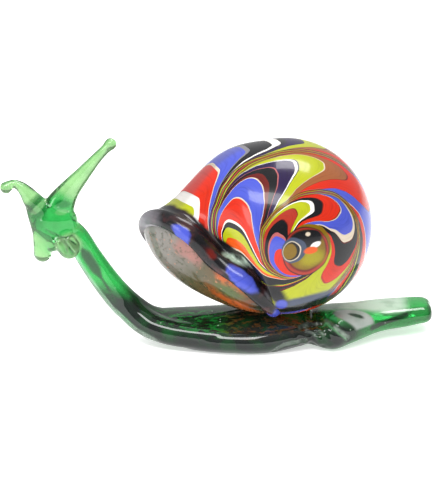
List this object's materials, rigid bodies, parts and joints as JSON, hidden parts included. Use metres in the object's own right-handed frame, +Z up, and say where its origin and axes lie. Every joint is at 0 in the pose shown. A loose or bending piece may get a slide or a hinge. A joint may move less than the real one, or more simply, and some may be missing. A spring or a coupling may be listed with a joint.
{
  "type": "glass snail ornament",
  "caption": "Hand-worked glass snail: clear green foot, neck and head with eye stalks, and a round shell with a combed spiral of coloured glass.",
  "frame": {"origin": "on the ground under the middle of the whole snail", "axes": "+X from the head to the tail, +Y from the apex side of the shell to its far side, +Z up"},
  "size_m": [0.165, 0.0636, 0.0839],
  "materials": {
    "amber_glass": "amber glass, glossy",
    "black_glass": "opaque black glass, glossy",
    "blue_glass": "opaque blue glass, glossy",
    "brown_glass": "opaque dark red-brown glass, glossy",
    "grey_glass": "opaque charcoal glass, glossy",
    "lime_glass": "opaque lime glass, glossy",
    "red_glass": "opaque red-orange glass, glossy",
    "yellow_glass": "opaque yellow-green glass, glossy",
    "green_glass": "clear green glass, polished by the flame",
    "mouth_glass": "dark streaked glass, glossy",
    "lip_glass": "mixed blue and black glass, glossy",
    "dark_glass": "dark opaque glass, glossy"
  },
  "bodies": {
    "root": {"apex_coil": "amber_glass", "cane_black_lower": "black_glass", "cane_black_lower_back": "black_glass", "cane_black_rear": "black_glass", "cane_black_upper": "black_glass", "cane_blue_lower": "blue_glass", "cane_blue_lower_back": "blue_glass", "cane_blue_upper": "blue_glass", "cane_brown": "brown_glass", "cane_grey": "grey_glass", "cane_lime": "lime_glass", "cane_red_lower": "red_glass", "cane_red_lower_back": "red_glass", "cane_red_lower_back2": "red_glass", "cane_red_rear": "red_glass", "cane_red_upper": "red_glass", "cane_yellow": "yellow_glass", "foot": "green_glass", "front_eye_stalk": "green_glass", "front_mouth_feeler": "green_glass", "head": "green_glass", "mouth_face": "mouth_glass", "mouth_lip": "lip_glass", "neck": "green_glass", "rear_eye_stalk": "green_glass", "rear_mouth_feeler": "green_glass", "shell_core": "dark_glass", "tail": "green_glass"}
  },
  "joints": []
}
